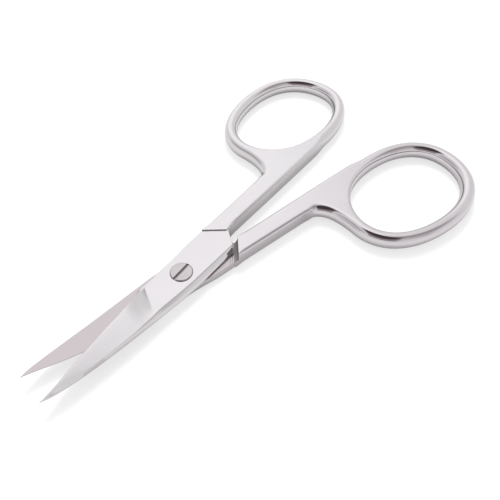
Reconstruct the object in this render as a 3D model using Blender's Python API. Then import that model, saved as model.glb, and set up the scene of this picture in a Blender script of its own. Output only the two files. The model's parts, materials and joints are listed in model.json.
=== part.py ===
"""Nail scissors: two forged steel halves on one slotted screw.

Metres, +Z up. The scissors lie flat on Z = 0, blades towards -Y, finger rings
towards +Y, open a little. Each half is drawn closed, with the pivot at X = Y = 0
and the meeting line of the halves along Y, and is then turned open by half of
the resting angle. Depth is measured outwards from the plane where the halves
meet, so one drawing serves both halves.
"""

import math

import bmesh
import bpy
from mathutils import Vector

MM = 0.001

# Overall stance
THICKNESS = 3.43 * MM
OPEN_ANGLE_DEG = 10.8
MEETING_GAP = 0.2 * MM
FACE_GAP = 0.06 * MM

# Finger ring, measured on the middle line of its bar
RING_HALF_WIDTH = 10.7 * MM
RING_HALF_LENGTH = 14.62 * MM
RING_CENTRE_Y = 47.3 * MM
RING_BAR_WIDTH = 2.84 * MM
RING_TURN_DEG = 1.2
RING_SQUARE_SHARE = 0.013
RING_SKEW_SHARE = 0.008
RING_EGG_SHARE = 0.007
RING_CREST_WIDTH = 0.16 * MM
RING_WALL_HEIGHT = 0.12 * MM

# Shank between the ring and the joint
SHANK_FOOT_WIDTH = 3.62 * MM
SHANK_TOP_WIDTH = 4.1 * MM
SHANK_EDGE_ROUND = 0.8 * MM
SHANK_EDGE_HEIGHT = 0.45 * MM
WEB_EDGE_ROUND = 0.85 * MM
JOIN_EDGE_ROUND = 1.3 * MM
JOIN_EDGE_HEIGHT = 1.64 * MM
JOIN_START_SHARE = 0.3
JOIN_FULL_SHARE = 0.7
CORNER_EDGE_ROUND = 1.7 * MM
CORNER_EDGE_HEIGHT = 1.6 * MM
CORNER_START_DROP = 5.0 * MM
CORNER_REACH = 2.26 * MM
CORNER_RUN_SHARE = 0.87
CORNER_SWELL_POWER = 6.0
RING_JOIN_DEG = 270.0
WEB_MIDDLE_DEG = 212.0
WEB_HALF_DEG = 18.0
WEB_FADE_DEG = 45.0
ROUND_RUN = 4.5 * MM

# Lapped joint: the roof shaped shoulder and the step on the outer face
SHOULDER_APEX_Y = 12.85 * MM
SHOULDER_SLOPE_DEG = 36.5
SHOULDER_CLEARANCE = 0.15 * MM
STEP_APEX_Y = 12.4 * MM
STEP_SLOPE_DEG = 40.5
STEP_DEPTH = 0.25 * MM
STEP_EDGE_ROUND = 0.08 * MM
STEP_EDGE_FADE = 2.5 * MM
RELIEF_DEPTH = 0.05 * MM
RELIEF_WIDTH = 1.5 * MM
SHOULDER_FILLET = 1.15 * MM
ROOT_LENGTH = 0.5 * MM
ROOT_INSET = 0.35 * MM

# Joint plate and blade
BLADE_LENGTH = 30.46 * MM
SPINE_OFFSET = 3.75 * MM
PLATE_SIDE_STEP = 0.03 * MM
PLATE_SIDE_MID = 3.2 * MM
PLATE_SIDE_RUN = 6.0 * MM
HEEL_Y = 6.33 * MM
HEEL_OFFSET = 4.05 * MM
HEEL_FLARE = 1.15 * MM
SPINE_CHAMFER = 0.82 * MM
SPINE_WALL = 0.4 * MM
CHAMFER_MID_SHARE = 0.35
CHAMFER_MID_RISE = 0.55
EDGE_EASE = 0.1 * MM
GRIND_START_Y = 7.55 * MM
GRIND_SLANT = 2.4 * MM
GRIND_BULGE = 0.3 * MM
GRIND_RUN = 4.5 * MM
SPINE_TIP_THICKNESS = 0.3 * MM
EDGE_THICKNESS = 0.07 * MM
TIP_WIDTH = 0.12 * MM
TIP_LIFT = 1.2 * MM
LIFT_START = 11.0 * MM
LIFT_POWER = 2.6

# Shapes of the blade, as shares of its length and of its offsets
SPINE_SHARES = (
    (0.0, 1.0),
    (0.13, 0.94),
    (0.26, 0.845),
    (0.39, 0.74),
    (0.5, 0.65),
    (0.6, 0.56),
    (0.7, 0.475),
    (0.8, 0.37),
    (0.886, 0.26),
    (0.955, 0.14),
    (1.0, 0.0),
)
EDGE_SHARES = (
    (0.0, 1.0),
    (0.11, 0.86),
    (0.24, 0.745),
    (0.37, 0.665),
    (0.495, 0.562),
    (0.62, 0.45),
    (0.75, 0.305),
    (0.86, 0.155),
    (0.95, 0.052),
    (1.0, 0.0),
)
SPINE_THICKNESS_SHARES = (
    (0.0, 1.0),
    (0.3, 0.97),
    (0.55, 0.86),
    (0.8, 0.58),
    (1.0, 0.0),
)
CHAMFER_SHARES = (
    (0.0, 1.0),
    (0.2, 0.9),
    (0.28, 0.6),
    (0.36, 0.36),
    (0.44, 0.16),
    (0.6, 0.08),
    (1.0, 0.0),
)
HOLLOW_POWER = 1.3

# Pivot screw
HEAD_DIAMETER = 4.0 * MM
HEAD_PROUD = 0.25 * MM
HEAD_SUNK = 0.4 * MM
HEAD_CHAMFER = 0.16 * MM
JOURNAL_DIAMETER = 2.6 * MM
THREAD_DIAMETER = 2.1 * MM
SLOT_WIDTH = 0.55 * MM
SLOT_DEPTH = 0.45 * MM
SLOT_TURN_DEG = 99.0
RUN_CLEARANCE = 0.05 * MM
OVERRUN = 1.0 * MM
CUT_OVERLAP = 0.02 * MM

# Fineness of the facets
RING_POINTS = 60
SIDE_POINTS = 7
CORNER_POINTS = 9
ROUND_STEPS = 4
PLATE_ROWS = 6
GRIND_ROWS = 6
BLADE_ROWS = 16
FACE_COLUMNS = 6
ROUND_SIDES = 48
FOOT_STEPS = 5

# Worked out from the sizes above
HALF_THICKNESS = THICKNESS / 2
PLATE_THICKNESS = HALF_THICKNESS - STEP_DEPTH - FACE_GAP / 2
RING_BAR_HALF = RING_BAR_WIDTH / 2
RING_CENTRE_X = MEETING_GAP / 2 + RING_BAR_HALF + RING_HALF_WIDTH
RING_ROUND = RING_BAR_HALF - RING_CREST_WIDTH / 2
RING_ROUND_HEIGHT = HALF_THICKNESS - RING_WALL_HEIGHT / 2
INNER_X = MEETING_GAP / 2
HALF_OPEN = math.radians(OPEN_ANGLE_DEG / 2)


def blend(points, at):
    """Smooth value at a share along a table of (place, value) shares."""
    if at <= points[0][0]:
        return points[0][1]
    if at >= points[-1][0]:
        return points[-1][1]
    slopes = []
    for index in range(len(points)):
        before = points[max(index - 1, 0)]
        after = points[min(index + 1, len(points) - 1)]
        slopes.append((after[1] - before[1]) / (after[0] - before[0]))
    index = 0
    while points[index + 1][0] < at:
        index += 1
    run = points[index + 1][0] - points[index][0]
    t = (at - points[index][0]) / run
    start = points[index][1]
    end = points[index + 1][1]
    rise = start * (2 * t**3 - 3 * t**2 + 1) + end * (3 * t**2 - 2 * t**3)
    rise += slopes[index] * run * (t**3 - 2 * t**2 + t)
    rise += slopes[index + 1] * run * (t**3 - t**2)
    return rise


def ease(share):
    """Share from 0 to 1 with a gentle start and end."""
    share = min(max(share, 0.0), 1.0)
    return share * share * (3 - 2 * share)


def mixed(first, second, share):
    """Pair of sizes part of the way from one pair to another."""
    across = first[0] + (second[0] - first[0]) * share
    height = first[1] + (second[1] - first[1]) * share
    return across, height


def lift(x, y):
    """Rise of the meeting face towards the tips, alike all round the pivot."""
    reach = math.hypot(x, y) - LIFT_START
    if reach <= 0:
        return 0.0
    return TIP_LIFT * (reach / (BLADE_LENGTH - LIFT_START)) ** LIFT_POWER


def ring_point(angle, offset):
    """Point of the ring, offset outwards from the middle line of its bar."""
    middle = []
    step = math.radians(0.5)
    for turn in (angle - step, angle, angle + step):
        wave = 1 - RING_SQUARE_SHARE * math.cos(4 * turn)
        wave += RING_SKEW_SHARE * math.sin(4 * turn)
        wave += RING_EGG_SHARE * math.sin(3 * turn)
        x = RING_HALF_WIDTH * wave * math.cos(turn)
        y = RING_HALF_LENGTH * wave * math.sin(turn)
        tilt = math.radians(RING_TURN_DEG)
        turned_x = RING_CENTRE_X + x * math.cos(tilt) - y * math.sin(tilt)
        turned_y = RING_CENTRE_Y + x * math.sin(tilt) + y * math.cos(tilt)
        middle.append(Vector((turned_x, turned_y)))
    along = (middle[2] - middle[0]).normalized()
    return middle[1] + Vector((along.y, -along.x)) * offset


def shank_outer_x(y):
    """Outer edge of the shank, from the joint up to the ring."""
    foot = SHOULDER_APEX_Y
    top = RING_CENTRE_Y - RING_HALF_LENGTH
    share = (y - foot) / (top - foot)
    return INNER_X + SHANK_FOOT_WIDTH + (SHANK_TOP_WIDTH - SHANK_FOOT_WIDTH) * share


def plate_roof():
    """Slope of the plate's roof shaped end, and where it would cross X = 0."""
    turn = math.radians(SHOULDER_SLOPE_DEG)
    return math.tan(turn), SHOULDER_APEX_Y - SHOULDER_CLEARANCE / math.cos(turn)


def step_y(x):
    """Height along Y of the step on the outer face."""
    return STEP_APEX_Y - x * math.tan(math.radians(STEP_SLOPE_DEG))


def step_outer_corner():
    """Point where the step meets the outer edge of the shank."""
    x = SHANK_FOOT_WIDTH
    for _ in range(20):
        x = shank_outer_x(step_y(x))
    return Vector((x, step_y(x)))


def bezier(start, first, second, end, share):
    """Point on a cubic curve."""
    rest = 1 - share
    point = start * rest**3 + first * (3 * rest * rest * share)
    return point + second * (3 * rest * share * share) + end * share**3


def outer_outline():
    """Outline of ring and shank, with the edge rounding at each point."""
    points = []
    sharp = (STEP_EDGE_ROUND, STEP_EDGE_ROUND)
    bevel = (SHANK_EDGE_ROUND, SHANK_EDGE_HEIGHT)
    corner_round = (CORNER_EDGE_ROUND, CORNER_EDGE_HEIGHT)
    web = (JOIN_EDGE_ROUND, JOIN_EDGE_HEIGHT)
    full = (RING_ROUND, RING_ROUND_HEIGHT)
    # Outer end of the step, up the outer edge to the corner below the ring
    corner = step_outer_corner()
    ring_foot = RING_CENTRE_Y - RING_HALF_LENGTH - RING_BAR_HALF
    edge_top_y = ring_foot - CORNER_START_DROP
    edge_top = Vector((shank_outer_x(edge_top_y), edge_top_y))
    for index in range(SIDE_POINTS):
        spot = corner.lerp(edge_top, (index / SIDE_POINTS) ** 2)
        points.append((spot, mixed(sharp, bevel, ease((spot - corner).length / STEP_EDGE_FADE))))
    # Corner between the shank and the ring
    join = math.radians(RING_JOIN_DEG)
    ring_start = ring_point(join, RING_BAR_HALF)
    after = ring_point(join + math.radians(1), RING_BAR_HALF)
    along = (after - ring_start).normalized()
    upward = (edge_top - corner).normalized()
    pull = (ring_start.x - edge_top.x) * CORNER_RUN_SHARE
    first = edge_top + upward * CORNER_REACH
    second = ring_start - along * pull
    for index in range(CORNER_POINTS):
        share = index / CORNER_POINTS
        spot = bezier(edge_top, first, second, ring_start, share)
        swell = ease(4 * share * (1 - share)) ** CORNER_SWELL_POWER
        grow = ease((share - JOIN_START_SHARE) / (JOIN_FULL_SHARE - JOIN_START_SHARE))
        points.append((spot, mixed(mixed(bevel, web, grow), corner_round, swell)))
    # Round the ring to its inner side
    end = 3 * math.pi
    travelled = 0.0
    before = ring_start
    for index in range(RING_POINTS + 1):
        angle = join + (end - join) * index / RING_POINTS
        spot = ring_point(angle, RING_BAR_HALF)
        travelled += (spot - before).length
        before = spot
        points.append((spot, mixed(web, full, ease(travelled / ROUND_RUN))))
    # Down the inner edge, which runs beside the meeting line
    top = points[-1][0]
    foot = Vector((INNER_X, step_y(INNER_X)))
    for index in range(1, SIDE_POINTS * 2):
        share = index / (SIDE_POINTS * 2)
        x = INNER_X + (top.x - INNER_X) * (1 - share) ** 2
        y = top.y + (foot.y - top.y) * share
        fade = ease((top.y - y) / ROUND_RUN)
        edge = mixed(sharp, bevel, ease((y - foot.y) / STEP_EDGE_FADE))
        points.append((Vector((x, y)), mixed(full, edge, fade)))
    points.append((foot, sharp))
    return points


def inner_outline():
    """Outline of the finger opening, with the edge rounding at each point."""
    points = []
    web = (WEB_EDGE_ROUND, RING_ROUND_HEIGHT)
    full = (RING_ROUND, RING_ROUND_HEIGHT)
    for index in range(RING_POINTS):
        angle = 2 * math.pi * index / RING_POINTS
        away = abs(math.degrees(angle) - WEB_MIDDLE_DEG)
        away = min(away, 360 - away)
        grow = ease((away - WEB_HALF_DEG) / WEB_FADE_DEG)
        points.append((ring_point(angle, -RING_BAR_HALF), mixed(web, full, grow)))
    return points


def normals_of(points, outwards):
    """Unit normals of a closed outline."""
    count = len(points)
    result = []
    for index in range(count):
        before = points[index - 1][0]
        after = points[(index + 1) % count][0]
        here = points[index][0]
        first = (here - before).normalized()
        second = (after - here).normalized()
        along = (first + second).normalized()
        result.append(Vector((along.y, -along.x)) * outwards)
    return result


def place(x, y, depth, side, raised=0.0):
    """World point of a place on a half, drawn closed about the pivot."""
    turned_x = x * math.cos(HALF_OPEN) + y * math.sin(HALF_OPEN)
    turned_y = y * math.cos(HALF_OPEN) - x * math.sin(HALF_OPEN)
    return Vector((turned_x * side, turned_y, HALF_THICKNESS - side * depth + raised))


def edge_rings(shape, points, outwards, side):
    """Rings of vertices that round an edge from the outer to the meeting side."""
    normals = normals_of(points, outwards)
    rings = []
    levels = []
    for step in range(ROUND_STEPS, -1, -1):
        levels.append((step, 1))
    for step in range(ROUND_STEPS + 1):
        levels.append((step, -1))
    for step, sign in levels:
        turn = math.pi / 2 * step / ROUND_STEPS
        ring = []
        for (spot, (across, height)), normal in zip(points, normals):
            inset = spot - normal * across * (1 - math.cos(turn))
            depth = HALF_THICKNESS - height + height * math.sin(turn)
            ring.append(shape.verts.new(place(inset.x, inset.y, depth * sign, side)))
        rings.append(ring)
    for upper, lower in zip(rings, rings[1:]):
        count = len(upper)
        for index in range(count):
            other = (index + 1) % count
            shape.faces.new((upper[index], upper[other], lower[other], lower[index]))
    return rings


def close_faces(shape, outer, inner):
    """Flat face between an outer ring of vertices and an inner one."""
    edges = []
    for ring in (outer, inner):
        for index in range(len(ring)):
            edge = shape.edges.get((ring[index], ring[(index + 1) % len(ring)]))
            edges.append(edge)
    bmesh.ops.triangle_fill(shape, use_beauty=True, use_dissolve=False, edges=edges)


def make_handle(name, side):
    """Ring and shank of one half at full thickness."""
    shape = bmesh.new()
    outer = edge_rings(shape, outer_outline(), 1, side)
    inner = edge_rings(shape, inner_outline(), -1, side)
    close_faces(shape, outer[0], inner[0])
    close_faces(shape, outer[-1], inner[-1])
    return finish_shape(shape, name)


def finish_shape(shape, name):
    """Turn a shape into an object with its faces pointing out."""
    bmesh.ops.recalc_face_normals(shape, faces=shape.faces[:])
    mesh = bpy.data.meshes.new(name)
    shape.to_mesh(mesh)
    shape.free()
    thing = bpy.data.objects.new(name, mesh)
    bpy.context.scene.collection.objects.link(thing)
    return thing


def spine_x(y, chamfer=0.0):
    """Spine side of plate and blade, set in by the chamfer there."""
    width = SPINE_OFFSET
    if y < 0:
        width = max(SPINE_OFFSET * blend(SPINE_SHARES, -y / BLADE_LENGTH), TIP_WIDTH / 2)
    return chamfer - width


def edge_x(y):
    """Meeting face edge of plate and blade on the cutting side."""
    corner = step_outer_corner()
    side_top = corner.x - PLATE_SIDE_STEP
    if y > corner.y:
        return side_top - ROOT_INSET * ease((y - corner.y) / (2 * ROOT_INSET))
    if y >= 0:
        return PLATE_SIDE_MID + (side_top - PLATE_SIDE_MID) * ease(y / PLATE_SIDE_RUN)
    if y > -HEEL_Y:
        return PLATE_SIDE_MID + (HEEL_OFFSET - PLATE_SIDE_MID) * ease(-y / HEEL_Y)
    share = (-y - HEEL_Y) / (BLADE_LENGTH - HEEL_Y)
    return max(HEEL_OFFSET * blend(EDGE_SHARES, share), TIP_WIDTH / 2)


def row_places():
    """Middle of each row across plate and blade, and how far past the grind."""
    rows = []
    corner = step_outer_corner()
    slope, apex = plate_roof()
    root = apex + (INNER_X + ROOT_INSET) * slope
    eave = apex - SPINE_OFFSET * slope
    rows.append(root + ROOT_LENGTH)
    rows.append(root)
    for index in range(PLATE_ROWS):
        rows.append(apex + (eave - apex) * index / PLATE_ROWS)
    rows.append(eave)
    rows.append(corner.y)
    for index in range(1, PLATE_ROWS + 1):
        rows.append(corner.y * (1 - index / PLATE_ROWS))
    for index in range(1, GRIND_ROWS + 1):
        rows.append(-GRIND_START_Y * index / GRIND_ROWS)
    rest = BLADE_LENGTH - GRIND_START_Y
    for index in range(1, GRIND_ROWS + 1):
        rows.append(-GRIND_START_Y - GRIND_RUN * index / GRIND_ROWS)
    for index in range(1, BLADE_ROWS + 1):
        share = index / BLADE_ROWS
        rows.append(-GRIND_START_Y - GRIND_RUN - (rest - GRIND_RUN) * share)
    return rows


def thickness_at(y, across, past):
    """Thickness of plate or blade, across from spine (0) to cutting side (1)."""
    if past <= 0:
        return PLATE_THICKNESS
    start = GRIND_START_Y / BLADE_LENGTH
    share = (-y / BLADE_LENGTH - start) / (1 - start)
    spine = SPINE_TIP_THICKNESS
    spine += (PLATE_THICKNESS - SPINE_TIP_THICKNESS) * blend(SPINE_THICKNESS_SHARES, share)
    ground = EDGE_THICKNESS + (spine - EDGE_THICKNESS) * (1 - across) ** HOLLOW_POWER
    short = 1 - min(past / GRIND_RUN, 1.0)
    return PLATE_THICKNESS + (ground - PLATE_THICKNESS) * (1 - short * short)


def blade_row(middle, side):
    """Closed row of world points round the plate or blade."""
    near = math.exp(-(((-middle - GRIND_START_Y) / GRIND_RUN) ** 2))
    if -middle < GRIND_START_Y:
        near *= ease((-middle) / GRIND_START_Y)
    else:
        near *= ease((BLADE_LENGTH + middle) / (BLADE_LENGTH - GRIND_START_Y) / 0.5)

    def spot(across):
        y = middle + near * GRIND_SLANT * (across - 0.5)
        y -= near * GRIND_BULGE * 4 * across * (1 - across)
        return y

    def add(x, y, height):
        row.append((x, y, FACE_GAP / 2 + height, lift(x, y)))

    row = []
    past = -middle - GRIND_START_Y
    chamfer = SPINE_CHAMFER * blend(CHAMFER_SHARES, max(-middle, 0.0) / BLADE_LENGTH)
    chamfer = min(chamfer, (edge_x(middle) + SPINE_OFFSET) / 4)
    flare = 0.0
    if middle < 0:
        flare = HEEL_FLARE * ease(-middle / GRIND_START_Y)
        flare *= 1 - ease(past / GRIND_RUN * 2)
    edge_ease = min(EDGE_EASE, thickness_at(middle, 1, past) / 4)
    # Meeting face, from the cutting side to the spine
    for index in range(FACE_COLUMNS + 1):
        across = 1 - index / FACE_COLUMNS
        y = spot(across)
        left = spine_x(y, EDGE_EASE / 2)
        right = edge_x(y) - edge_ease
        add(left + (right - left) * across, y, 0.0)
    # Spine wall with its eased edge, up to its chamfer
    y = spot(0)
    height = thickness_at(y, 0, past)
    wall = SPINE_WALL + (height - SPINE_WALL) * (1 - chamfer / SPINE_CHAMFER)
    wall = min(wall, height - EDGE_THICKNESS / 2)
    add(spine_x(y), y, min(EDGE_EASE / 2, wall / 4))
    add(spine_x(y), y, wall)
    middle_height = wall + (height - wall) * CHAMFER_MID_RISE
    add(spine_x(y, chamfer * CHAMFER_MID_SHARE), y, middle_height)
    # Outer face, from the chamfer to the cutting side
    for index in range(FACE_COLUMNS + 1):
        across = index / FACE_COLUMNS
        y = spot(across)
        left = spine_x(y, chamfer)
        right = edge_x(y) - flare - edge_ease
        add(left + (right - left) * across, y, thickness_at(y, across, past))
    # Cutting side wall between its eased edges
    y = spot(1)
    height = thickness_at(y, 1, past)
    add(edge_x(y) - flare, y, height - edge_ease)
    add(edge_x(y), y, edge_ease)
    return [place(x, y, depth, side, raised) for x, y, depth, raised in row]


def make_blade(name, side):
    """Plate and blade of one half, from its root in the shank to the tip."""
    shape = bmesh.new()
    rows = []
    for middle in row_places():
        rows.append([shape.verts.new(point) for point in blade_row(middle, side)])
    for upper, lower in zip(rows, rows[1:]):
        count = len(upper)
        for index in range(count):
            other = (index + 1) % count
            shape.faces.new((upper[index], upper[other], lower[other], lower[index]))
    shape.faces.new(rows[0])
    shape.faces.new(rows[-1])
    return finish_shape(shape, name)


def make_shoulder_cutter(name, side):
    """Block that clears the meeting side of the joint below the shoulder."""
    slope = math.tan(math.radians(SHOULDER_SLOPE_DEG))
    reach = RELIEF_WIDTH / math.cos(math.radians(SHOULDER_SLOPE_DEG))
    right = SHANK_TOP_WIDTH + OVERRUN
    left = -OVERRUN
    corners = []
    for x, drop in ((left, 0.0), (right, 0.0), (right, reach), (left, reach)):
        corners.append((x, SHOULDER_APEX_Y - x * slope - drop))
    shape = bmesh.new()
    low = []
    high = []
    for x, y in corners:
        low.append(shape.verts.new(place(x, y, FACE_GAP / 2 + RELIEF_DEPTH, side)))
        high.append(shape.verts.new(place(x, y, -HALF_THICKNESS - OVERRUN, side)))
    shape.faces.new(low)
    shape.faces.new(high)
    for index in range(len(low)):
        other = (index + 1) % len(low)
        shape.faces.new((low[index], low[other], high[other], high[index]))
    return finish_shape(shape, name)


def hollow_round():
    """Profile of the hollow round at the foot of the shoulder, from its top down."""
    run = SHOULDER_FILLET / math.cos(math.radians(SHOULDER_SLOPE_DEG))
    points = []
    for step in range(FOOT_STEPS + 1):
        turn = math.pi / 2 * step / FOOT_STEPS
        points.append((run * (math.cos(turn) - 1), SHOULDER_FILLET * (1 - math.sin(turn))))
    return points


def make_bar(name, side, reach, line, profile):
    """Bar along a sloping line, from (distance along Y, depth) points."""
    apex, slope = line
    shape = bmesh.new()
    ends = []
    for x in reach:
        y = apex + x * slope
        ends.append([shape.verts.new(place(x, y + along, depth, side)) for along, depth in profile])
    count = len(profile)
    for index in range(count):
        other = (index + 1) % count
        shape.faces.new((ends[0][index], ends[0][other], ends[1][other], ends[1][index]))
    shape.faces.new(ends[0])
    shape.faces.new(ends[1])
    return finish_shape(shape, name)


def make_shoulder_foot(name, side):
    """Hollow round at the foot of the shoulder, over the plate."""
    curve = [(along, -height) for along, height in hollow_round()]
    run = -curve[-1][0]
    base = PLATE_THICKNESS / 2
    profile = [(run, base), (run, -SHOULDER_FILLET)] + curve + [(-run, base)]
    slope = math.tan(math.radians(SHOULDER_SLOPE_DEG))
    reach = (INNER_X, step_outer_corner().x - PLATE_SIDE_STEP)
    return make_bar(name, side, reach, (SHOULDER_APEX_Y, -slope), profile)


def make_roof_cutters(name, side):
    """Bars that cut the plate's end to clear the other half's shoulder and its foot."""
    slope, apex = plate_roof()
    far = SPINE_OFFSET + ROOT_LENGTH + OVERRUN
    low = -OVERRUN
    high = HALF_THICKNESS + OVERRUN
    curve = hollow_round()
    start = -SPINE_OFFSET - OVERRUN
    straight = [(0.0, high), (0.0, low), (far, low), (far, high)]
    top = SHOULDER_FILLET + CUT_OVERLAP
    hollow = [(far, top), (CUT_OVERLAP, top)] + curve[1:] + [(curve[-1][0], low), (far, low)]
    return [
        make_bar(name + "_roof", side, (start, INNER_X + ROOT_INSET), (apex, slope), straight),
        make_bar(name + "_hollow", side, (start, 0.0), (apex, slope), hollow),
    ]


def make_turned(name, profile):
    """Solid turned about the pivot from (radius, height) steps."""
    shape = bmesh.new()
    rings = []
    for radius, height in profile:
        ring = []
        for index in range(ROUND_SIDES):
            turn = 2 * math.pi * index / ROUND_SIDES
            spot = (radius * math.cos(turn), radius * math.sin(turn), height)
            ring.append(shape.verts.new(spot))
        rings.append(ring)
    for lower, upper in zip(rings, rings[1:]):
        for index in range(ROUND_SIDES):
            other = (index + 1) % ROUND_SIDES
            shape.faces.new((lower[index], lower[other], upper[other], upper[index]))
    shape.faces.new(rings[0])
    shape.faces.new(rings[-1])
    return finish_shape(shape, name)


def make_slot_cutter(name, floor, top):
    """Bar that cuts the driver slot across the screw head."""
    shape = bmesh.new()
    bmesh.ops.create_cube(shape, size=1.0)
    length = HEAD_DIAMETER + OVERRUN
    height = top - floor
    for vertex in shape.verts:
        vertex.co.x *= length
        vertex.co.y *= SLOT_WIDTH
        vertex.co.z = floor + height * (vertex.co.z + 0.5)
    thing = finish_shape(shape, name)
    thing.rotation_euler = (0.0, 0.0, math.radians(SLOT_TURN_DEG))
    return thing


def hide_tool(thing):
    """Keep a construction solid out of the finished part."""
    thing.hide_render = True
    thing.display_type = "WIRE"


def combine(target, tool, how):
    """Join or cut the target with a construction solid."""
    modifier = target.modifiers.new(tool.name, "BOOLEAN")
    modifier.operation = how
    modifier.solver = "EXACT"
    modifier.object = tool
    hide_tool(tool)


def steel(name, colour, roughness):
    """Bare steel."""
    material = bpy.data.materials.new(name)
    material.use_nodes = True
    shader = material.node_tree.nodes["Principled BSDF"]
    shader.inputs["Base Color"].default_value = (*colour, 1.0)
    shader.inputs["Roughness"].default_value = roughness
    shader.inputs["Metallic"].default_value = 1.0
    return material


def shade(thing, material):
    """Give a piece its material, smooth where it is round."""
    thing.data.materials.append(material)
    thing.data.shade_smooth()
    thing.data.set_sharp_from_angle(angle=math.radians(28))


def length_extent():
    """Lowest and highest Y of the part about its pivot."""
    lowest = place(0.0, -BLADE_LENGTH, 0.0, 1).y
    highest = 0.0
    for spot, _ in outer_outline():
        highest = max(highest, place(spot.x, spot.y, 0.0, 1).y)
    return lowest, highest


for thing in list(bpy.data.objects):
    bpy.data.objects.remove(thing, do_unlink=True)

# The pivot stands where the part's box is centred on the origin
LOWEST_Y, HIGHEST_Y = length_extent()
PIVOT_Y = -(LOWEST_Y + HIGHEST_Y) / 2

REAR_STEEL = steel("rear_half_steel", (0.74, 0.72, 0.73), 0.22)
FRONT_STEEL = steel("front_half_steel", (0.78, 0.76, 0.77), 0.2)
SCREW_STEEL = steel("pivot_screw_steel", (0.62, 0.61, 0.62), 0.28)

# The rear half, with the hole that holds the screw
rear_half = make_handle("rear_half", 1)
shade(rear_half, REAR_STEEL)
rear_blade = make_blade("rear_blade_blank", 1)
rear_shoulder = make_shoulder_cutter("rear_shoulder_cut", 1)
rear_bore = make_turned("rear_bore_cut", (
    (THREAD_DIAMETER / 2 + RUN_CLEARANCE, -OVERRUN),
    (THREAD_DIAMETER / 2 + RUN_CLEARANCE, THICKNESS + OVERRUN),
))
rear_foot = make_shoulder_foot("rear_foot", 1)
for tool in make_roof_cutters("rear_blade", 1):
    combine(rear_blade, tool, "DIFFERENCE")
combine(rear_half, rear_blade, "UNION")
combine(rear_half, rear_shoulder, "DIFFERENCE")
combine(rear_half, rear_bore, "DIFFERENCE")
combine(rear_half, rear_foot, "UNION")

# The front half, with the running hole and the seat of the head
PLATE_TOP_Z = THICKNESS - STEP_DEPTH
SEAT_Z = PLATE_TOP_Z - HEAD_SUNK
front_half = make_handle("front_half", -1)
shade(front_half, FRONT_STEEL)
front_blade = make_blade("front_blade_blank", -1)
front_shoulder = make_shoulder_cutter("front_shoulder_cut", -1)
front_bore = make_turned("front_bore_cut", (
    (JOURNAL_DIAMETER / 2 + RUN_CLEARANCE, -OVERRUN),
    (JOURNAL_DIAMETER / 2 + RUN_CLEARANCE, SEAT_Z),
    (HEAD_DIAMETER / 2 + RUN_CLEARANCE, SEAT_Z),
    (HEAD_DIAMETER / 2 + RUN_CLEARANCE, THICKNESS + OVERRUN),
))
front_foot = make_shoulder_foot("front_foot", -1)
for tool in make_roof_cutters("front_blade", -1):
    combine(front_blade, tool, "DIFFERENCE")
combine(front_half, front_blade, "UNION")
combine(front_half, front_shoulder, "DIFFERENCE")
combine(front_half, front_bore, "DIFFERENCE")
combine(front_half, front_foot, "UNION")

# The pivot screw: head, journal in the front half, thread in the rear half
HEAD_TOP_Z = PLATE_TOP_Z + HEAD_PROUD
REAR_FACE_Z = HALF_THICKNESS - FACE_GAP / 2
pivot_screw = make_turned("pivot_screw", (
    (THREAD_DIAMETER / 2 - HEAD_CHAMFER, STEP_DEPTH),
    (THREAD_DIAMETER / 2, STEP_DEPTH + HEAD_CHAMFER),
    (THREAD_DIAMETER / 2, REAR_FACE_Z + RUN_CLEARANCE),
    (JOURNAL_DIAMETER / 2, REAR_FACE_Z + RUN_CLEARANCE),
    (JOURNAL_DIAMETER / 2, SEAT_Z + RUN_CLEARANCE),
    (HEAD_DIAMETER / 2, SEAT_Z + RUN_CLEARANCE),
    (HEAD_DIAMETER / 2, HEAD_TOP_Z - HEAD_CHAMFER),
    (HEAD_DIAMETER / 2 - HEAD_CHAMFER, HEAD_TOP_Z),
))
shade(pivot_screw, SCREW_STEEL)
slot = make_slot_cutter("slot_cut", HEAD_TOP_Z - SLOT_DEPTH, HEAD_TOP_Z + OVERRUN)
combine(pivot_screw, slot, "DIFFERENCE")

# Everything hangs on one point, the pivot, where the front half turns
pivot = bpy.data.objects.new("pivot_axis", None)
bpy.context.scene.collection.objects.link(pivot)
pivot.location = (0.0, PIVOT_Y, 0.0)
for thing in list(bpy.data.objects):
    if thing is not pivot:
        thing.parent = pivot
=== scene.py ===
"""The look of the nail scissors: polished steel halves on a slotted screw.

Each half is drawn closed about its pivot, with the same sizes as the solids but finer, and is then
turned open by half of the resting angle. Metres, +Z up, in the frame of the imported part.
"""

import json
import math

import bmesh
import bpy
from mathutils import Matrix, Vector


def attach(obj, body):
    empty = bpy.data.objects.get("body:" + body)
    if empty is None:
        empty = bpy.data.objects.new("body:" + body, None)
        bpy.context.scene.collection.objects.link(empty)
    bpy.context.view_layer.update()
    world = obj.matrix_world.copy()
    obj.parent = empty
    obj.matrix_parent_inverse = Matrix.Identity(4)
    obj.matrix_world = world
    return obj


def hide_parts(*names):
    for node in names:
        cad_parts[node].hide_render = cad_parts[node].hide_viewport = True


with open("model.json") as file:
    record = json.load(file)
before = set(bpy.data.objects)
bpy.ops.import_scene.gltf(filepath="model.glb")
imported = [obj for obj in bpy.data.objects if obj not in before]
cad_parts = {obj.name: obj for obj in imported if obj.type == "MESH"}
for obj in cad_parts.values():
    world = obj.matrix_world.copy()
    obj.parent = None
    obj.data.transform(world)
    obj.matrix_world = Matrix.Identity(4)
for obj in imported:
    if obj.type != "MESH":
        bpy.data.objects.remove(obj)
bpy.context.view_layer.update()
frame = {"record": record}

MM = 0.001

# Overall stance
THICKNESS = 3.43 * MM
OPEN_ANGLE_DEG = 10.8
MEETING_GAP = 0.2 * MM
FACE_GAP = 0.06 * MM

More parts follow.
